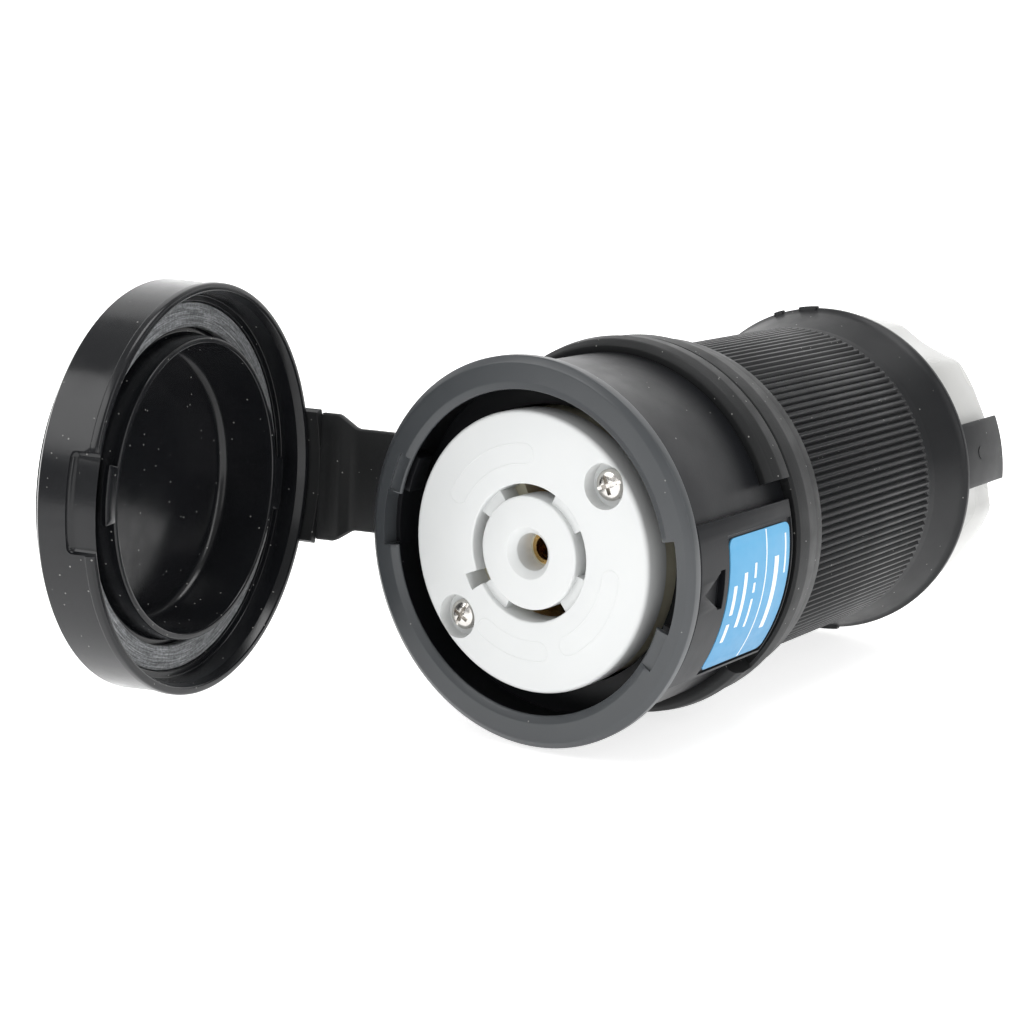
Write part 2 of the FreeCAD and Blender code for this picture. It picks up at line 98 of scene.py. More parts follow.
SWING = JOINTS["cap_swing"]
SWING_OPEN = math.radians(SWING["range_deg"][1])
HINGE = Vector(SWING["pos_m"])
HINGE_AXIS = Vector(SWING["axis"]).normalized()

# Sizes that the boxes don't show: millimetres, and degrees from +X towards +Z.
SLOTS = [(65, 124), (151, 214), (242, 307), (343, 386)]
SLOT_INNER = 10.9
SLOT_OUTER = 13.2
KEY_R = 16
KEY_SPAN = (202, 214)
PIN_R = 3.6
BRIDGE_DEPTH = 1.3
SCREW_SPOTS = (40.6, 220.9)
SCREW_CIRCLE = 22.5
SCREW_HEAD = 2.95
WELL_R = 4.3
WELL_DEPTH = 3.2
LIP_R = 31.0
LIP_BACK = -0.3
BARREL_BORE = 33.0
FLANGE_BACK = 1.5
NOTCH_R = 34.0
NOTCHES = ((-18.0, 11.5), (165.0, 184.0))
LEDGES = ((-32.0, -18.4), (151.0, 164.6))
RAMPS = ((-32.0, -18.0), (151.0, 165.0))
PAD_R = 37.0
PAD_START = 2.0
PAD_END = 35.0
PAD_SPAN = (-36, 14.5)
POINTER_ANGLE = -5.5
LABEL_R = 36.85
LABEL_SPAN = (-33.7, 8.2)
LABEL_CORNER = 1.6
COLLAR_GAP = (-42.5, 20.6)
SLEEVE_BORE = 30.9
TAB_SPAN = (-1.5, 21.5)
NUT_R = 33.6
NUT_MOUTH = 13.0
NUT_FLOOR = 129.6
CAP_AHEAD = -2.5
CAP_R = 40.2
CAP_STEPS = 256
STRAP_ANGLE = 174.5
STRAP_ROOT = 24.5
STRAP_THICK = 2.2
STRAP_WIDE = 27.0
STRAP_NARROW = 21.6
STRAP_GAP = 0.25


def cap_place():
    """The matrix that swings a piece from coaxial with the connector to the open cap."""
    turn = Matrix.Rotation(-SWING_OPEN, 4, HINGE_AXIS)
    return Matrix.Translation(HINGE) @ turn @ Matrix.Translation(-HINGE)


# ---------------------------------------------------------------- mesh helpers

def outline(corners):
    """A closed (radius, y) outline; a corner's third number rounds it with an arc."""
    points = []
    count = len(corners)
    for i, corner in enumerate(corners):
        here = Vector(corner[:2])
        fillet = corner[2] if len(corner) > 2 else 0.0
        if fillet == 0.0:
            points.append(tuple(here))
            continue
        before = (Vector(corners[i - 1][:2]) - here).normalized()
        after = (Vector(corners[(i + 1) % count][:2]) - here).normalized()
        half = before.angle(after) / 2
        run = fillet / math.tan(half)
        middle = here + (before + after).normalized() * (fillet / math.sin(half))
        start = here + before * run - middle
        sweep = math.pi - 2 * half
        side = 1.0 if start.y * before.x - start.x * before.y > 0 else -1.0
        for k in range(ARC_STEPS + 1):
            angle = side * sweep * k / ARC_STEPS
            x = start.x * math.cos(angle) - start.y * math.sin(angle)
            y = start.x * math.sin(angle) + start.y * math.cos(angle)
            points.append((middle.x + x, middle.y + y))
    return points


def at(radius, y, angle):
    """A point in metres from a radius, a Y and an angle from +X towards +Z."""
    turn = math.radians(angle)
    return Vector((radius * math.cos(turn), y, radius * math.sin(turn))) * MM


def mesh_object(name, bm):
    """A linked object from a bmesh, with its loose doubles merged and its normals outward."""
    bmesh.ops.remove_doubles(bm, verts=bm.verts, dist=1e-7)
    bmesh.ops.recalc_face_normals(bm, faces=bm.faces)
    mesh = bpy.data.meshes.new(name)
    bm.to_mesh(mesh)
    bm.free()
    obj = bpy.data.objects.new(name, mesh)
    bpy.context.scene.collection.objects.link(obj)
    return obj


def lathe(name, corners, first=0.0, last=360.0, steps=STEPS, shape=None):
    """Turns an outline about Y, all round or over a sector closed at both ends.

    shape(radius, y, angle) may move the radius, for ribs and flats.
    """
    points = outline(corners)
    whole = last - first >= 360.0
    count = steps if whole else max(3, int(steps * (last - first) / 360.0) + 1)
    bm = bmesh.new()
    layer = bm.loops.layers.uv.new("turned")
    rings = []
    for k in range(count + 1):
        angle = first + (last - first) * k / count
        if whole and k == count:
            rings.append(rings[0])
            break
        ring = []
        for radius, y in points:
            r = shape(radius, y, angle) if shape else radius
            ring.append(bm.verts.new(at(r, y, angle)))
        rings.append(ring)
    size = len(points)
    for k in range(count):
        for i in range(size):
            j = (i + 1) % size
            corner = (rings[k][i], rings[k][j], rings[k + 1][j], rings[k + 1][i])
            if points[i][0] == 0 and points[j][0] == 0:
                continue
            if points[i][0] == 0:
                corner = (rings[0][i], rings[k][j], rings[k + 1][j])
            elif points[j][0] == 0:
                corner = (rings[k][i], rings[0][j], rings[k + 1][i])
            face = bm.faces.new(corner)
            for loop in face.loops:
                p = loop.vert.co / MM
                loop[layer].uv = (math.atan2(p.z, p.x), math.hypot(p.x, p.z))
    if not whole:
        bm.faces.new(rings[0])
        bm.faces.new(rings[-1])
    return mesh_object(name, bm)


def skin(bm, rings, closed=False):
    """Walls between neighbouring rings; the ends are capped, or joined when it is closed."""
    pairs = list(zip(rings, rings[1:]))
    if closed:
        pairs.append((rings[-1], rings[0]))
    for one, two in pairs:
        for k in range(len(one)):
            j = (k + 1) % len(one)
            bm.faces.new((one[k], one[j], two[j], two[k]))
    if not closed:
        bm.faces.new(rings[0])
        bm.faces.new(rings[-1])


def prism(name, corners, inner, outer):
    """A solid between two radii whose outline is a list of (y, angle) corners."""
    bm = bmesh.new()
    rings = [[bm.verts.new(at(radius, y, angle)) for y, angle in corners]
             for radius in (inner, outer)]
    skin(bm, rings)
    return mesh_object(name, bm)


def rod(name, radius, start, end, circle=0.0, angle=0.0, sides=48):
    """A cylinder parallel to Y, with its axis on a circle."""
    bm = bmesh.new()
    middle = at(circle, 0, angle)
    rings = []
    for y in (start, end):
        ring = []
        for k in range(sides):
            turn = 2 * math.pi * k / sides
            offset = Vector((radius * math.cos(turn), y, radius * math.sin(turn))) * MM
            ring.append(bm.verts.new(middle + offset))
        rings.append(ring)
    skin(bm, rings)
    return mesh_object(name, bm)


def block(name, radius, height, width, start, end, angle):
    """A box that stands out along an angle from a radius."""
    bm = bmesh.new()
    out = at(1, 0, angle).normalized()
    across = at(1, 0, angle + 90).normalized()
    verts = []
    for up in (radius, radius + height):
        for side, y in ((-1, start), (1, start), (1, end), (-1, end)):
            spot = out * up + across * (side * width / 2) + Vector((0, y, 0))
            verts.append(bm.verts.new(spot * MM))
    sides = ((0, 1, 2, 3), (4, 5, 6, 7), (0, 1, 5, 4), (1, 2, 6, 5), (2, 3, 7, 6), (3, 0, 4, 7))
    for ids in sides:
        bm.faces.new([verts[i] for i in ids])
    return mesh_object(name, bm)


def settle(obj):
    """Applies an object's modifiers."""
    graph = bpy.context.evaluated_depsgraph_get()
    mesh = bpy.data.meshes.new_from_object(obj.evaluated_get(graph))
    old = obj.data
    obj.modifiers.clear()
    obj.data = mesh
    bpy.data.meshes.remove(old)
    return obj


def carve(obj, tools):
    """Cuts tools out of a piece and removes the tools."""
    for tool in tools:
        step = obj.modifiers.new("carve", "BOOLEAN")
        step.operation = "DIFFERENCE"
        step.solver = "EXACT"
        step.object = tool
    settle(obj)
    for tool in tools:
        bpy.data.objects.remove(tool)
    return obj


def soften(obj, width, limit=40.0, segments=2):
    """Rounds every edge sharper than the limit."""
    step = obj.modifiers.new("soften", "BEVEL")
    step.width = width * MM
    step.segments = segments
    step.limit_method = "ANGLE"
    step.angle_limit = math.radians(limit)
    return settle(obj)


def smooth(obj, limit=32.0, cut_limit=6.0):
    """Smooth shading, with the edges above the limit and those of cut faces kept sharp."""
    bm = bmesh.new()
    bm.from_mesh(obj.data)
    for face in bm.faces:
        face.smooth = True
    for edge in bm.edges:
        angle = edge.calc_face_angle(0.0) if len(edge.link_faces) == 2 else math.pi
        many = any(len(face.verts) > 4 for face in edge.link_faces)
        edge.smooth = angle < math.radians(cut_limit if many else limit)
    bm.to_mesh(obj.data)
    bm.free()
    return obj


def join(name, pieces):
    """One object from several."""
    bm = bmesh.new()
    for piece in pieces:
        bm.from_mesh(piece.data)
        bpy.data.objects.remove(piece)
    mesh = bpy.data.meshes.new(name)
    bm.to_mesh(mesh)
    bm.free()
    obj = bpy.data.objects.new(name, mesh)
    bpy.context.scene.collection.objects.link(obj)
    return obj


def swing_open(obj):
    """Moves a piece made coaxial with the connector to the open cap."""
    obj.data.transform(cap_place())
    return obj


def finish_piece(obj, material, body, nodes, limit=32.0):
    """Material, shading, body and replaced CAD nodes of a finished piece."""
    smooth(obj, limit)
    obj.data.materials.clear()
    obj.data.materials.append(material)
    if body:
        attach(obj, body)
    if nodes:
        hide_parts(*nodes)
    return obj


# ------------------------------------------------------------------- materials

class Nodes:
    """A short way to wire a material's nodes."""

    def __init__(self, name):
        self.material = bpy.data.materials.new(name)
        self.material.use_nodes = True
        self.tree = self.material.node_tree
        self.shader = self.tree.nodes["Principled BSDF"]
        self.place = self.add("ShaderNodeTexCoord").outputs["Object"]

    def add(self, kind, **values):
        node = self.tree.nodes.new(kind)
        for key, value in values.items():
            setattr(node, key, value)
        return node

    def link(self, out, into):
        self.tree.links.new(out, into)

    def noise(self, scale, detail=3.0, rough=0.55, vector=None, stretch=None):
        """Noise whose scale is in cells per metre."""
        vector = vector or self.place
        if stretch:
            mapping = self.add("ShaderNodeMapping")
            mapping.inputs["Scale"].default_value = stretch
            self.link(vector, mapping.inputs["Vector"])
            vector = mapping.outputs["Vector"]
        node = self.add("ShaderNodeTexNoise")
        node.inputs["Scale"].default_value = scale
        node.inputs["Detail"].default_value = detail
        node.inputs["Roughness"].default_value = rough
        self.link(vector, node.inputs["Vector"])
        return node.outputs["Fac"]

    def ramp(self, value, stops):
        node = self.add("ShaderNodeValToRGB")
        node.color_ramp.elements[0].position = stops[0][0]
        node.color_ramp.elements[0].color = (*stops[0][1], 1)
        node.color_ramp.elements[1].position = stops[-1][0]
        node.color_ramp.elements[1].color = (*stops[-1][1], 1)
        for position, colour in stops[1:-1]:
            node.color_ramp.elements.new(position).color = (*colour, 1)
        self.link(value, node.inputs["Fac"])
        return node.outputs["Color"]

    def span(self, value, low, high, to_low, to_high):
        node = self.add("ShaderNodeMapRange")
        node.inputs["From Min"].default_value = low
        node.inputs["From Max"].default_value = high
        node.inputs["To Min"].default_value = to_low
        node.inputs["To Max"].default_value = to_high
        self.link(value, node.inputs["Value"])
        return node.outputs["Result"]

    def mix(self, factor, first, second):
        node = self.add("ShaderNodeMix", data_type="RGBA")
        self.link(factor, node.inputs["Factor"])
        for value, socket in ((first, node.inputs["A"]), (second, node.inputs["B"])):
            if isinstance(value, tuple):
                socket.default_value = (*value, 1)
            else:
                self.link(value, socket)
        return node.outputs["Result"]

    def math(self, operation, first, second):
        node = self.add("ShaderNodeMath", operation=operation)
        for value, socket in ((first, node.inputs[0]), (second, node.inputs[1])):
            if isinstance(value, float):
                socket.default_value = value
            else:
                self.link(value, socket)
        return node.outputs["Value"]

    def specks(self, cells, size, share):
        """Scattered small dots: 1 on a dot, 0 elsewhere; share of the cells has one."""
        dots = self.add("ShaderNodeTexVoronoi")
        dots.inputs["Scale"].default_value = cells
        self.link(self.place, dots.inputs["Vector"])
        near = self.math("LESS_THAN", dots.outputs["Distance"], size)
        pick = self.add("ShaderNodeSeparateColor")
        self.link(dots.outputs["Color"], pick.inputs["Color"])
        chosen = self.math("LESS_THAN", pick.outputs["Red"], share)
        return self.math("MULTIPLY", near, chosen)

    def bump(self, height, strength, distance):
        node = self.add("ShaderNodeBump")
        node.inputs["Strength"].default_value = strength
        node.inputs["Distance"].default_value = distance
        self.link(height, node.inputs["Height"])
        self.link(node.outputs["Normal"], self.shader.inputs["Normal"])

    def colour(self, value):
        self.link(value, self.shader.inputs["Base Color"])

    def rough(self, value):
        self.link(value, self.shader.inputs["Roughness"])


def dark_moulding(name, dark, light, rough, grain, dusty, specular=0.5):
    """Black plastic or rubber: cloudy tone, moulded grain, worn patches and dust."""
    m = Nodes(name)
    tone = m.mix(m.noise(45, 4), dark, light)
    dust = m.specks(800, 0.13, dusty)
    m.colour(m.mix(dust, tone, (0.20, 0.20, 0.19)))
    low, high = rough
    m.rough(m.span(m.noise(140, 5), 0.3, 0.7, low, high))
    m.shader.inputs["Specular IOR Level"].default_value = specular
    m.bump(m.noise(2600, 2), grain, 0.00008)
    return m.material


def white_moulding(name, body, shade, rough):
    """White nylon: faint flow marks and an uneven shine."""
    m = Nodes(name)
    m.colour(m.mix(m.noise(60, 3), body, shade))
    m.rough(m.span(m.noise(40, 2), 0.3, 0.7, rough - 0.03, rough + 0.04))
    return m.material


def metal(name, dark, light, rough, streaks):
    """Bare metal, a little uneven in tone and shine; streaks stretches its grain."""
    m = Nodes(name)
    m.shader.inputs["Metallic"].default_value = 1.0
    m.colour(m.mix(m.noise(500, 4), dark, light))
    m.rough(m.span(m.noise(700, 3, stretch=streaks), 0.3, 0.7, rough - 0.08, rough + 0.1))
    m.bump(m.noise(1500, 3, stretch=streaks), 0.12, 0.00005)
    return m.material


def label_film():
    """Blue printed film: painted light, the blue lighter at the top where the light falls and darker
    towards the bottom; fine satin texture.
    """
    m = Nodes("label_film")
    height = m.add("ShaderNodeSeparateXYZ")
    m.link(m.place, height.inputs["Vector"])
    # Painted light: the blue is mixed lighter with height on the label.
    painted_top_light = m.span(height.outputs["Z"], -0.022, 0.006, 0.0, 1.0)
    blue = m.mix(painted_top_light, (0.045, 0.22, 0.42), (0.085, 0.36, 0.60))
    m.colour(m.mix(m.noise(300, 3), blue, (0.06, 0.30, 0.54)))
    m.rough(m.span(m.noise(500, 2), 0.3, 0.7, 0.3, 0.42))
    m.bump(m.noise(1800, 2), 0.08, 0.00004)
    return m.material


def print_white():
    """White ink on the label."""
    m = Nodes("print_white")
    m.colour(m.mix(m.noise(900, 2), (0.72, 0.78, 0.82), (0.85, 0.88, 0.90)))
    m.rough(m.span(m.noise(600, 2), 0.3, 0.7, 0.4, 0.5))
    return m.material


def gasket_foam():
    """Grey sealing ring: dark and chalky streaks run round it."""
    m = Nodes("gasket_foam")
    ring = m.add("ShaderNodeUVMap", uv_map="turned").outputs["UV"]
    streak = m.noise(1.0, 6, 0.75, vector=ring, stretch=(5.0, 3.2, 1.0))
    chalk = m.noise(1600, 4, 0.7)
    both = m.math("ADD", m.math("MULTIPLY", streak, 0.7), m.math("MULTIPLY", chalk, 0.3))
    stops = [(0.36, (0.045, 0.046, 0.05)), (0.47, (0.14, 0.145, 0.15)),
             (0.56, (0.30, 0.31, 0.32)), (0.66, (0.55, 0.56, 0.56))]
    m.colour(m.ramp(both, stops))
    m.rough(m.span(chalk, 0.3, 0.7, 0.75, 0.95))
    m.bump(both, 0.5, 0.0003)
    return m.material


SHELL_BLACK = dark_moulding("shell_black", (0.006, 0.0065, 0.008), (0.011, 0.0115, 0.013),
                            (0.30, 0.40), 0.10, 0.02, 0.2)
# A lighter grey copy of the black shell plastic for the flange's front: painted light, for the light
# the flange catches.
FLANGE_PAINTED_LIGHT = dark_moulding("flange_painted_light", (0.036, 0.040, 0.044), (0.054, 0.058, 0.062),
                            (0.28, 0.38), 0.08, 0.03)
CAP_GLOSS = dark_moulding("cap_gloss", (0.005, 0.0055, 0.0065), (0.009, 0.0095, 0.011),
                          (0.14, 0.26), 0.03, 0.16, 0.36)
RUBBER = dark_moulding("rubber", (0.008, 0.0085, 0.009), (0.014, 0.0145, 0.015),
                       (0.42, 0.56), 0.28, 0.16, 0.24)
GRIP_RUBBER = dark_moulding("grip_rubber", (0.006, 0.0065, 0.0075), (0.011, 0.0115, 0.0125),
                            (0.32, 0.44), 0.14, 0.10, 0.25)
WHITE = white_moulding("white_nylon", (0.64, 0.655, 0.655), (0.70, 0.71, 0.705), 0.3)
# A darker copy of the white nylon for the nut: painted shade, so that the nut shows shading against
# the white stage.
NUT_SHADED_WHITE = white_moulding("nut_painted_shade_white", (0.42, 0.42, 0.408), (0.48, 0.48, 0.468), 0.26)
# A darker cream-toned copy of the white nylon for the parts behind the face: painted shade in the
# face's slots and cavities.
INNER_SHADE_CREAM = white_moulding("cream_nylon", (0.52, 0.49, 0.37), (0.60, 0.57, 0.44), 0.45)
BRASS = metal("brass", (0.50, 0.31, 0.10), (0.72, 0.48, 0.19), 0.28, (1, 6, 1))
NICKEL = metal("nickel", (0.52, 0.50, 0.47), (0.75, 0.73, 0.70), 0.2, (1, 1, 1))
LABEL = label_film()
PRINT = print_white()
GASKET = gasket_foam()


# ------------------------------------------------------------------ the pieces

def make_face():
    """The white face: outer ring, hub with its pin hole, bridges between the keyed slots."""
    rim = lathe("rim", [(SLOT_OUTER, 0.0, 0.35), (FACE_R, 0.0, 0.9), (FACE_R, FACE_BACK),
                        (SLOT_OUTER, FACE_BACK)])
    tools = [lathe("key", [(SLOT_OUTER - 1, -1), (KEY_R, -1), (KEY_R, FACE_BACK + 1),
                           (SLOT_OUTER - 1, FACE_BACK + 1)], *KEY_SPAN)]
    for angle in SCREW_SPOTS:
        tools.append(rod("well", WELL_R, -1, WELL_DEPTH, SCREW_CIRCLE, angle, 64))
        tools.append(rod("well_hole", 1.7, 0, FACE_BACK + 1, SCREW_CIRCLE, angle, 32))
    carve(rim, tools)
    soften(rim, 0.2, 60, 3)
    parts = [rim, lathe("hub", [(PIN_R, FACE_BACK), (PIN_R, 1.5, 0.4), (PIN_R + 1.4, 0.0, 0.3),
                                (SLOT_INNER, 0.0, 0.45), (SLOT_INNER, FACE_BACK)])]
    inner, outer, back = SLOT_INNER - 0.3, SLOT_OUTER + 0.3, FACE_BACK - 0.05
    for k, (slot_start, _) in enumerate(SLOTS):
        bridge = lathe("bridge", [(inner, BRIDGE_DEPTH), (outer, BRIDGE_DEPTH), (outer, back),
                                  (inner, back)], SLOTS[k - 1][1] % 360, slot_start)
        parts.append(soften(bridge, 0.12, 60))
    for first, last in ((92, 150), (299, 352), (238, 278)):
        parts.append(moulded_loop(17.0, 20.8, first, last))
    face = join("mating_face_disc", parts)
    finish_piece(face, WHITE, "connector", ["mating_face"])


def moulded_loop(inner, outer, first, last):
    """A thin raised outline with round ends, as on a moulded face."""
    middle = (inner + outer) / 2
    half = (outer - inner) / 2
    along = [k / 30 for k in range(31)]
    ends = [math.pi * k / 12 for k in range(1, 12)]
    turn = math.degrees(1 / middle)
    path = [(outer, first + (last - first) * t) for t in along]
    path += [(middle + half * math.cos(a), last + half * math.sin(a) * turn) for a in ends]
    path += [(inner, last + (first - last) * t) for t in along]
    path += [(middle - half * math.cos(a), first - half * math.sin(a) * turn) for a in ends]
    bm = bmesh.new()
    rings = []
    for grow, y in ((-0.16, 0.05), (-0.06, -0.045), (0.06, -0.045), (0.16, 0.05)):
        spots = [at(radius, y, angle) for radius, angle in path]
        ring = []
        for k, here in enumerate(spots):
            ahead = spots[(k + 1) % len(spots)] - spots[k - 1]
            out = ahead.normalized().cross(Vector((0, 1, 0)))
            ring.append(bm.verts.new(here + out * grow * MM))
        rings.append(ring)
    skin(bm, rings, closed=True)
    return mesh_object("moulded_loop", bm)


def make_face_screws():
    """Two nickel screws with a combined cross and slot, in their wells."""
    screws = []
    for k, angle in enumerate(SCREW_SPOTS):
        under = WELL_DEPTH - 0.05
        dome = [(0, 1.0), (1.6, 1.05), (SCREW_HEAD - 0.4, 1.55, 0.4), (SCREW_HEAD, 2.1, 0.2),
                (SCREW_HEAD, under), (0, under)]
        head = lathe("screw_head", dome, steps=64)
        turned = 20 + 40 * k
        tools = [block("arm", -1.75, 3.5, 0.75, 0.2, 2.5, turned),
                 block("arm", -1.75, 3.5, 0.75, 0.2, 2.5, turned + 90),
                 block("slot", -3.4, 6.8, 0.62, 0.2, 1.75, turned)]
        carve(head, tools)
        soften(head, 0.08)
        head.data.transform(Matrix.Translation(at(SCREW_CIRCLE, 0, angle)))
        shank = rod("shank", 1.6, under, 44, SCREW_CIRCLE, angle, 32)
        screws += [head, shank]
    finish_piece(join("face_screw_pair", screws), NICKEL, "connector", ["face_screws"])


def make_shroud():
    """Flange with a rolled inner lip, bayonet notches and ramps, barrel and label pad."""
    profile = [
        (LIP_R, FLANGE_FRONT + 0.55, 0.5),
        (LIP_R + 1.5, FLANGE_FRONT, 1.2),
        (FLANGE_R - 1.3, FLANGE_FRONT, 0.9),
        (FLANGE_R, FLANGE_FRONT + 0.9, 0.5),
        (FLANGE_R, FLANGE_BACK, 0.5),
        (BARREL_R, FLANGE_BACK, 0.5),
        (BARREL_R, BARREL_END),
        (BARREL_BORE, BARREL_END),
        (BARREL_BORE, LIP_BACK),
        (LIP_R, LIP_BACK, 0.2),
    ]
    shroud = lathe("shroud", profile)
    tools = []
    for span in NOTCHES:
        tools.append(lathe("notch", [(29, -3), (NOTCH_R, -3), (NOTCH_R, 2.2), (29, 2.2)], *span))
    for span in LEDGES:
        floor = FLANGE_FRONT + 0.45
        tools.append(lathe("ledge", [(31.4, -3), (33.7, -3), (33.7, floor), (31.4, floor)], *span))
    carve(shroud, tools)
    pad = label_pad()
    ramps = []
    for span in RAMPS:
        ramp = lathe("ramp", [(LIP_R, 1.5), (33.4, 1.5), (33.4, 5.7), (LIP_R, 5.7)], *span)
        ramps.append(soften(ramp, 0.25))
    soften(shroud, 0.22)
    whole = join("front_shroud_shell", [shroud, pad] + ramps)
    finish_piece(whole, SHELL_BLACK, "connector", ["front_shroud"])
    # Faces in front of y = 1.2 mm take the lighter grey copy: painted light on the flange.
    whole.data.materials.append(FLANGE_PAINTED_LIGHT)
    for polygon in whole.data.polygons:
        if polygon.center.y / MM < 1.2:
            polygon.material_index = 1


def label_pad():
    """The raised pad, with a shallow seat for the label, a pocket and a pointer."""
    root = BARREL_R - 0.4
    pad = lathe("pad", [(root, PAD_START), (PAD_R, PAD_START, 0.3), (PAD_R, PAD_END, 0.5),
                        (root, PAD_END)], *PAD_SPAN)
    seat, first, last = PAD_R - 0.45, LABEL_START - 0.6, LABEL_END + 0.5
    well = lathe("label_well", [(seat, first, 0.2), (39, first), (39, last), (seat, last, 0.2)],
                 -34.8, 9.3)
    pocket = block("pocket", 35.6, 3, 7.4, 8.7, 10.2, POINTER_ANGLE)
    tip, base = 3.6, 8.9
    corners = [(tip, POINTER_ANGLE), (base, POINTER_ANGLE - 5.5), (base, POINTER_ANGLE + 5.5)]
    pointer = prism("pointer", corners, 36.35, 38.5)
    carve(pad, [well, pocket, pointer])
    return soften(pad, 0.3)


def make_label():
    """The blue film with a white rule and plain bars where the print would be."""
    film = lathe("rating_film", [(36.5, LABEL_START, 0.02), (LABEL_R, LABEL_START, 0.05),
                                 (LABEL_R, LABEL_END, 0.05), (36.5, LABEL_END, 0.02)], *LABEL_SPAN)
    corners = []
    for y, side in ((LABEL_START, -1), (LABEL_END, 1)):
        for angle, turn in zip(LABEL_SPAN, (-1, 1)):
            corners.append(corner_cutter(y, side, angle, turn))
    carve(film, corners)
    finish_piece(film, LABEL, "connector", ["rating_label"])
    rows = [(25.2, 0.35, [(-33.4, 7.9)]),
            (14.6, 1.1, [(-24, -18), (-15, -6)]),
            (18.0, 1.1, [(-20, -3)]),
            (21.4, 0.7, [(-21, -12), (-10, -7), (-5.5, -1)]),
            (29.0, 1.5, [(-24, -1)]),
            (32.2, 0.5, [(-7, 5)])]
    bars = []
    for y, width, spans in rows:
        low, high = y - width / 2, y + width / 2
        for span in spans:
            bars.append(lathe("bar", [(36.8, low), (36.89, low), (36.89, high), (36.8, high)], *span))
    finish_piece(join("label_rules", bars), PRINT, "connector", [])


def corner_cutter(y, side, angle, turn):
    """Rounds one corner of the label; side and turn point out of it along Y and round it."""
    surface = 36.8
    past = 0.4
    past_angle = math.degrees(past / surface)
    round_angle = math.degrees(LABEL_CORNER / surface)
    corners = [(y - side * LABEL_CORNER, angle + turn * past_angle),
               (y + side * past, angle + turn * past_angle),
               (y + side * past, angle - turn * round_angle)]
    for k in range(9):
        a = math.pi / 2 * k / 8
        corners.append((y - side * LABEL_CORNER + side * LABEL_CORNER * math.cos(a),
                        angle - turn * round_angle * (1 - math.sin(a))))
    return prism("corner", corners, 36.0, 37.4)


def make_collar():
    """The bulged rubber collar with its parting line and cut-away lip at the pad."""
    start = COLLAR_START
    profile = [
        (BARREL_R, start),
        (BARREL_R + 1.5, start, 0.9),
        (COLLAR_R - 0.4, start + 1.2, 1.3),
        (COLLAR_R, start + 3.6, 2.5),
        (COLLAR_R - 0.3, start + 6.9, 0.5),
        (COLLAR_R - 1.1, start + 7.2),
        (COLLAR_R - 1.1, start + 7.5),
        (COLLAR_R - 0.5, start + 7.8, 0.3),
        (COLLAR_R - 0.5, start + 11.5, 3.0),
        (COLLAR_R - 1.5, start + 16.0, 2.5),
        (COLLAR_R - 1.9, COLLAR_END, 0.5),
        (BARREL_R - 1.2, COLLAR_END),
        (BARREL_R - 1.2, BARREL_END + 0.2),
        (BARREL_R, BARREL_END + 0.2),
    ]
    collar = lathe("collar", profile)
    gap = lathe("gap", [(34, start - 1), (42, start - 1), (42, start + 7.3), (34, start + 7.3)],
                *COLLAR_GAP)
    carve(collar, [gap])
    soften(collar, 0.5, 50)
    finish_piece(collar, RUBBER, "connector", ["rubber_collar"])


RIBS = 135
RIB_STEPS = 8
RIB_HEIGHT = 0.75
RIB_START = 51.6
RIB_END = 100.6


def rib_wave(radius, y, angle):
    """Adds the height of the fine lengthwise ribs to the grip's plain radius."""
    if radius < SLEEVE_R - 1.6 or radius > SLEEVE_R + 0.1:
        return radius
    rise = min(1.0, max(0.0, (y - RIB_START) / 0.7))
    fall = min(1.0, max(0.0, (RIB_END - y) / 0.7))
    ends = math.sin(min(rise, fall) * math.pi / 2)
    phase = angle / 360.0 * RIBS % 1.0
    wave = 0.5 - 0.5 * math.cos(2 * math.pi * phase)
    return radius + RIB_HEIGHT * ends * min(1.0, 1.5 * wave)


def make_grip():
    """The ribbed sleeve, its flared rim with mould steps, and the tab behind the rim."""
    low = SLEEVE_R - RIB_HEIGHT
    stations = [RIB_START - 0.4, RIB_START, RIB_START + 0.25, RIB_START + 0.5, RIB_START + 0.8,
                75.0, RIB_END - 0.8, RIB_END - 0.5, RIB_END - 0.25, RIB_END, RIB_END + 0.4]
    profile = [
        (SLEEVE_BORE, SLEEVE_START),
        (COLLAR_R - 2.2, SLEEVE_START, 0.3),
        (SLEEVE_R + 1.4, SLEEVE_START + 1.2, 0.6),
        (low + 0.35, SLEEVE_START + 2.6, 0.5),
    ]
    profile += [(low, y) for y in stations]
    profile += [
        (low + 0.3, RIB_END + 1.4, 0.5),
        (SLEEVE_R - 0.2, RIB_END + 2.4, 1.5),
        (FLARE_R - 0.9, SLEEVE_END - 2.2, 5.0),
        (FLARE_R - 0.1, SLEEVE_END - 1.2, 0.6),
        (FLARE_R - 0.1, SLEEVE_END, 0.4),
        (FLARE_R - 1.9, SLEEVE_END, 0.3),
        (FLARE_R - 2.1, SLEEVE_END - 2.0, 0.3),
        (SLEEVE_BORE, SLEEVE_END - 2.0),
    ]
    grip = lathe("grip", profile, steps=RIBS * RIB_STEPS, shape=rib_wave)
    tab = lathe("tab", [(35.1, SLEEVE_END - 1.0), (36.4, SLEEVE_END - 1.0, 0.3),
                        (36.4, TAB_END, 0.4), (35.1, TAB_END, 0.3)], *TAB_SPAN)
    soften(tab, 0.3)
    whole = join("ribbed_grip", [grip, tab, gate_mark()] + mould_steps())
    finish_piece(whole, GRIP_RUBBER, "connector", ["grip_sleeve"], 40)


def gate_mark():
    """The small round mark that the mould's gate leaves on the tab."""
    angle = 10
    mark = rod("gate", 1.5, -0.15, 0.12, sides=24)
    mark.data.transform(Matrix.Rotation(math.radians(90), 4, "X"))
    outward = Matrix.Rotation(math.radians(-angle), 4, "Y") @ Matrix.Rotation(math.radians(90), 4, "Y")
    mark.data.transform(outward)
    mark.data.transform(Matrix.Translation(at(36.38, 121, angle)))
    return mark


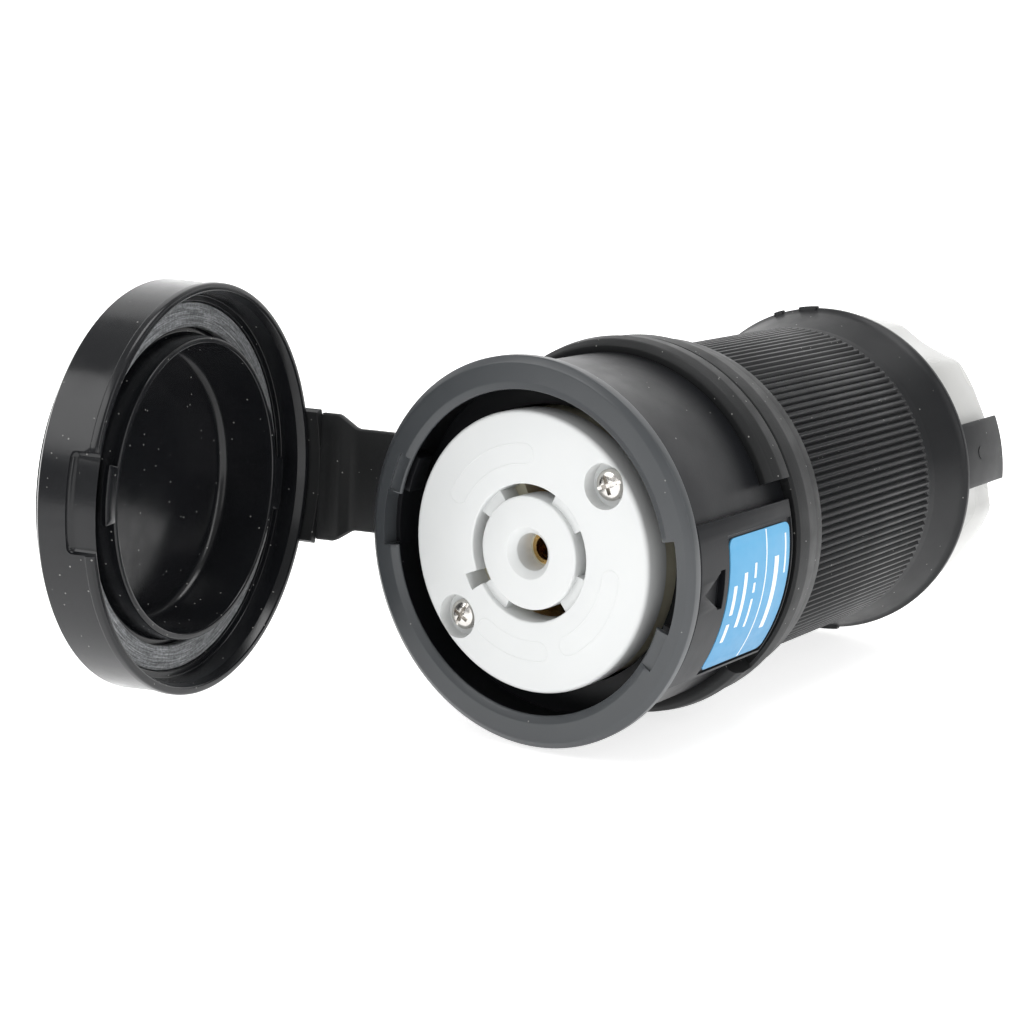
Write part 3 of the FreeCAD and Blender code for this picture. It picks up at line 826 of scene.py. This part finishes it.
def mould_steps():
    """Low steps on the flared rim where the mould's halves met, above and below."""
    root, top = FLARE_R - 1.5, FLARE_R + 0.35
    steps = []
    for angle, wide in ((96, 7.0), (108, 3.5), (-84, 7.0), (-96, 3.5)):
        ridge = lathe("mould_step", [(root, SLEEVE_END - 2.2), (top, SLEEVE_END - 1.6, 0.3),
                                     (top, SLEEVE_END - 0.2, 0.3), (root, SLEEVE_END - 0.2)],
                      angle - wide / 2, angle + wide / 2)
        steps.append(soften(ridge, 0.15))
    return steps


def make_nut():
    """The white cord nut: a smooth ring with wing lugs round its rear half."""
    profile = [
        (29.7, NUT_FRONT),
        (NUT_R, NUT_FRONT, 0.3),
        (NUT_R, NUT_FRONT + 4.5),
        (NUT_R, NUT_FRONT + 6.0),
        (NUT_R, NUT_FRONT + 7.5),
        (NUT_R, NUT_END - 6.0),
        (NUT_R - 0.3, NUT_END - 1.6, 0.8),
        (NUT_R - 1.9, NUT_END - 0.3, 0.8),
        (NUT_R - 4.5, NUT_END, 0.8),
        (NUT_MOUTH + 4.0, NUT_END, 0.6),
        (NUT_MOUTH + 2.5, NUT_END - 1.2, 0.6),
        (NUT_MOUTH, NUT_END - 1.4, 0.5),
        (NUT_MOUTH, NUT_FLOOR),
        (29.7, NUT_FLOOR),
    ]
    shell = lathe("nut_shell", profile, shape=wing_wave)
    # The nut's darker white is painted shade.
    finish_piece(shell, NUT_SHADED_WHITE, "nut", ["cord_nut"], 40)


WINGS = 6
WING_MIDDLE = 46.0
WING_LIFT = 1.1
WING_TOP = 34.8
WING_RAMP = 0.3
WING_DISH = (0.55, 0.93)
DISH_DEPTH = 1.225


def wing_wave(radius, y, angle):
    """Adds the nut's wings: a crest with a long ramp on one side and a dish on the other."""
    if radius < 29.8 or y < NUT_FRONT + 2:
        return radius
    pitch = 360.0 / WINGS
    phase = (WING_MIDDLE - angle) % pitch / pitch
    start, end = WING_DISH
    climb = max(0.0, 1.0 - phase / WING_RAMP)
    steep = max(0.0, (phase - end) / (1.0 - end))
    dish = 0.0
    if start < phase < end:
        dish = math.sin((phase - start) / (end - start) * math.pi)
    along = min(1.0, max(0.0, (y - (NUT_FRONT + 5.5)) / 3.0))
    lift = WING_LIFT * max(climb, steep) - DISH_DEPTH * dish
    return min(radius + lift * along, WING_TOP)


CAP_SHOULDER = 5.6
CAP_SEAT = 7.5
CAP_SKIRT = 12.1
CAP_CUP = 14.4
CAP_BACK = 16.2
SLEEVE_EDGE = 2.1
CAP_SLEEVE_R = 29.6
GASKET_R = 36.2
BOSS_R = 31.5


def cap_outline():
    """The closure cap's section; each depth is counted back from the rim."""
    def y(depth):
        return CAP_AHEAD - depth
    return [
        (0, y(CAP_BACK - 0.5)),
        (0, y(CAP_CUP)),
        (CAP_SLEEVE_R - 2.0, y(CAP_CUP), 2.4),
        (CAP_SLEEVE_R - 1.3, y(SLEEVE_EDGE), 0.4),
        (CAP_SLEEVE_R, y(SLEEVE_EDGE), 0.4),
        (CAP_SLEEVE_R + 0.4, y(CAP_SEAT), 0.4),
        (GASKET_R, y(CAP_SEAT)),
        (GASKET_R, y(CAP_SHOULDER), 0.3),
        (GASKET_R + 1.4, y(CAP_SHOULDER), 0.4),
        (CAP_R - 2.2, y(1.8), 0.5),
        (CAP_R - 1.6, y(0.0), 0.5),
        (CAP_R - 0.1, y(0.0), 0.6),
        (CAP_R, y(1.6), 0.2),
        (CAP_R - 0.35, y(1.9), 0.2),
        (CAP_R, y(CAP_SKIRT - 0.8), 0.3),
        (CAP_R - 0.8, y(CAP_SKIRT), 0.3),
        (BOSS_R, y(CAP_SKIRT), 0.5),
        (BOSS_R, y(CAP_BACK - 1.0)),
        (BOSS_R + 1.5, y(CAP_BACK - 1.0), 0.3),
        (BOSS_R + 1.5, y(CAP_BACK), 0.4),
        (24.0, y(CAP_BACK), 0.4),
        (23.4, y(CAP_BACK - 0.5), 0.3),
    ]


def thumb_pocket():
    """Cuts the thumb grip: a shallow pocket with round corners in the skirt, open at the rim."""
    floor, low, high = CAP_R - 1.4, CAP_AHEAD - CAP_SHOULDER, CAP_AHEAD + 4.0
    pocket = lathe("thumb", [(floor, low), (CAP_R + 4, low), (CAP_R + 4, high), (floor, high)],
                   -18.5, 8.5)
    return soften(pocket, 1.1, 60, 4)


def make_cap():
    """The glossy closure cap, with its thumb pocket and bayonet lugs."""
    cap = lathe("cap", cap_outline(), steps=CAP_STEPS)
    carve(cap, [thumb_pocket()])
    soften(cap, 0.3, 50)
    lugs = []
    for middle in (-3.25, 176.75):
        top = CAP_AHEAD - SLEEVE_EDGE
        lug = lathe("lug", [(29.4, top - 1.2), (32.4, top - 1.2, 0.2), (32.4, top, 0.2),
                            (29.4, top)], middle - 10, middle + 10)
        lugs.append(soften(lug, 0.15))
    whole = swing_open(join("closure_cap_shell", [cap] + lugs))
    finish_piece(whole, CAP_GLOSS, "cap", ["closure_cap"], 30)


def make_gasket():
    """The grey sealing ring between the cap's sleeve and its skirt."""
    outer, low, high = GASKET_R - 0.1, CAP_AHEAD - 7.4, CAP_AHEAD - 5.9
    ring = lathe("gasket_ring", [(31.2, low), (outer, low), (outer, high, 0.5), (31.2, high, 0.5)],
                 steps=CAP_STEPS)
    finish_piece(swing_open(ring), GASKET, "cap", ["cap_gasket"])


# ------------------------------------------------------------------- the strap

def strap_mesh(name, stations):
    """A flat rubber band through stations of (middle, normal, across, width, thick)."""
    bm = bmesh.new()
    rings = []
    edge = 0.45 * MM
    for middle, normal, across, width, thick in stations:
        half = width * MM / 2
        lift = thick * MM / 2
        cross = [(-half + edge, -lift), (half - edge, -lift), (half, -lift + edge),
                 (half, lift - edge), (half - edge, lift), (-half + edge, lift),
                 (-half, lift - edge), (-half, -lift + edge)]
        rings.append([bm.verts.new(middle + across * a + normal * b) for a, b in cross])
    skin(bm, rings)
    return mesh_object(name, bm)


def curve_point(points, t):
    """A point on the cubic that four control points steer."""
    a, b, c, d = points
    s = 1 - t
    return a * s ** 3 + b * 3 * s * s * t + c * 3 * s * t * t + d * t ** 3


def strap_point(radial, radius, y):
    """A point in metres on the strap's centre line, from its radius and Y."""
    return radial * radius * MM + Vector((0, y * MM, 0))


def make_strap_tail():
    """The end of the strap that lies on the barrel, under the collar's lip."""
    outer = BARREL_R + STRAP_THICK
    first = STRAP_ROOT - STRAP_THICK / 2
    tail = lathe("tail", [(BARREL_R, first), (outer, first, 0.3), (outer, COLLAR_START),
                          (BARREL_R, COLLAR_START)], STRAP_ANGLE - 18, STRAP_ANGLE + 18)
    finish_piece(tail, RUBBER, "connector", ["strap_tail"])


def make_strap_band():
    """The free band: it bends and twists from the barrel to the open cap."""
    radial = at(1, 0, STRAP_ANGLE).normalized()
    across = at(1, 0, STRAP_ANGLE + 90).normalized()
    place = cap_place()
    turn = place.to_3x3()
    root = strap_point(radial, BARREL_R - 0.4, STRAP_ROOT)
    head = place @ strap_point(radial, CAP_R + STRAP_GAP + STRAP_THICK / 2, CAP_AHEAD + 2.1)
    head_way = turn @ Vector((0, 1, 0))
    controls = (root, root + radial * 9 * MM, head + head_way * 9 * MM, head)
    stations = []
    count = 40
    for k in range(count + 1):
        t = k / count
        middle = curve_point(controls, t)
        ahead = curve_point(controls, min(1.0, t + 0.01)) - curve_point(controls, max(0.0, t - 0.01))
        ahead.normalize()
        side = (across * (1 - t) + (turn @ across) * t).normalized()
        side = (side - ahead * side.dot(ahead)).normalized()
        normal = ahead.cross(side).normalized()
        left = (head - middle).length / MM
        share = min(1.0, max(0.0, (8.2 - left) / 4.2))
        width = STRAP_NARROW + (STRAP_WIDE - STRAP_NARROW) * share
        crease = math.exp(-((left - 1.6) / 0.5) ** 2) + math.exp(-((left - 3.4) / 0.5) ** 2)
        stations.append((middle, normal, side, width, STRAP_THICK - 0.25 * crease))
    band = strap_mesh("strap_band_soft", stations)
    finish_piece(band, RUBBER, None, ["strap_band"], 50)
    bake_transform(band)


def make_strap_ring():
    """The strap's ring on the cap's boss and its head outside the skirt."""
    back, front = CAP_AHEAD - 15.0, CAP_AHEAD - CAP_SKIRT - 0.3
    ring = lathe("ring", [(31.9, back, 0.3), (36.0, back, 0.5), (36.0, front, 0.5),
                          (31.9, front, 0.3)])
    half = math.degrees(math.asin(STRAP_WIDE / 2 / CAP_R))
    inner = CAP_R + STRAP_GAP
    outer = inner + STRAP_THICK
    edge = CAP_AHEAD + 2.2
    wrap = lathe("wrap", [(34.5, back, 0.3), (outer, back, 1.0), (outer, edge, 0.2),
                          (inner, edge, 0.2), (inner, front), (34.5, front)],
                 STRAP_ANGLE - half, STRAP_ANGLE + half)
    soften(wrap, 0.3)
    whole = swing_open(join("strap_ring_soft", [ring, wrap]))
    finish_piece(whole, RUBBER, "strap_end", ["strap_ring"])


def dress_cad_nodes():
    """Procedural materials for the CAD pieces that stay as they are."""
    plain = {
        # The parts behind the face take the cream copy: painted shade in the cavities.
        "contact_carrier": INNER_SHADE_CREAM,
        "wire_barrier": INNER_SHADE_CREAM,
        "thrust_washer": INNER_SHADE_CREAM,
        "cord_fingers": WHITE,
        "inner_housing": SHELL_BLACK,
        "screw_bosses": SHELL_BLACK,
        "housing_seal": GASKET,
        "cord_grommet": RUBBER,
        "centre_contact": BRASS,
        "terminal_screws": BRASS,
        "pressure_plates": BRASS,
    }
    for side in ("top", "left", "bottom", "right"):
        plain["blade_contact_" + side] = BRASS
    for name, material in plain.items():
        mesh = frame["nodes"][name].data
        mesh.materials.clear()
        mesh.materials.append(material)


# ---------------------------------------------------------- floor, light, camera

def pale(name, colour, rough, glow):
    """A matt pale paint with a faint glow of its own, so that the stage stays white."""
    m = Nodes(name)
    m.colour(m.mix(m.noise(6, 2), colour, tuple(c * 0.985 for c in colour)))
    m.shader.inputs["Roughness"].default_value = rough
    m.shader.inputs["Emission Color"].default_value = (1, 1, 1, 1)
    m.shader.inputs["Emission Strength"].default_value = glow
    return m.material


def make_stage():
    """A floor under the lowest point of the part that curves up into a wall behind it."""
    floor_z = cad_box[0][2] - 0.0004
    bm = bmesh.new()
    heading = Vector((-0.601, 0.799, 0))
    across = Vector((0.799, 0.601, 0))
    bend = 0.5
    depth = 0.9
    line = [(-4.0, 0.0), (depth, 0.0)]
    for k in range(1, 13):
        turn = math.pi / 2 * k / 12
        line.append((depth + bend * math.sin(turn), bend * (1 - math.cos(turn))))
    line.append((depth + bend, 2.2))
    rows = []
    for along, up in line:
        spot = heading * along + Vector((0, 0, floor_z + up))
        rows.append([bm.verts.new(spot + across * side) for side in (-2.5, 2.5)])
    for k in range(len(rows) - 1):
        bm.faces.new((rows[k][0], rows[k][1], rows[k + 1][1], rows[k + 1][0]))
    floor = smooth(mesh_object("floor", bm))
    floor.data.materials.append(pale("floor_pale", (0.85, 0.85, 0.85), 0.8, 0.72))


def area(name, spot, target, size, power):
    """A soft rectangular lamp at a spot, aimed at a target."""
    data = bpy.data.lights.new(name, "AREA")
    data.shape = "RECTANGLE"
    data.size, data.size_y = size
    data.energy = power
    lamp = bpy.data.objects.new(name, data)
    bpy.context.scene.collection.objects.link(lamp)
    lamp.location = spot
    lamp.rotation_euler = (Vector(target) - Vector(spot)).to_track_quat("-Z", "Y").to_euler()


def make_lights():
    middle = (0, 0.03, 0)
    area("key_box", (-0.55, -0.85, 0.75), middle, (0.9, 0.7), 5.5)
    area("top_box", (0.15, 0.15, 1.1), middle, (0.5, 0.9), 7)
    area("right_strip", (1.0, -0.1, 0.45), middle, (0.25, 0.9), 2.5)
    area("front_fill", (0.5, -1.1, 0.25), middle, (0.8, 0.6), 1.5)
    world = bpy.data.worlds.new("studio")
    bpy.context.scene.world = world
    bpy.context.scene.view_settings.view_transform = "Standard"
    world.use_nodes = True
    back = world.node_tree.nodes["Background"]
    back.inputs["Color"].default_value = (1.0, 1.0, 1.0, 1)
    back.inputs["Strength"].default_value = 0.45


def make_camera():
    data = bpy.data.cameras.new("camera")
    data.sensor_width = 36
    data.lens = 73.65
    data.clip_start = 0.01
    camera = bpy.data.objects.new("camera", data)
    bpy.context.scene.collection.objects.link(camera)
    camera.location = (0.22825, -0.30834, 0.08472)
    forward = Vector((-0.5894, 0.7836, -0.1963))
    camera.rotation_euler = forward.to_track_quat("-Z", "Y").to_euler()
    bpy.context.scene.camera = camera


make_camera()
make_lights()
make_stage()
make_face()
make_face_screws()
make_shroud()
make_label()
make_collar()
make_grip()
make_nut()
make_cap()
make_gasket()
make_strap_tail()
make_strap_band()
make_strap_ring()
dress_cad_nodes()
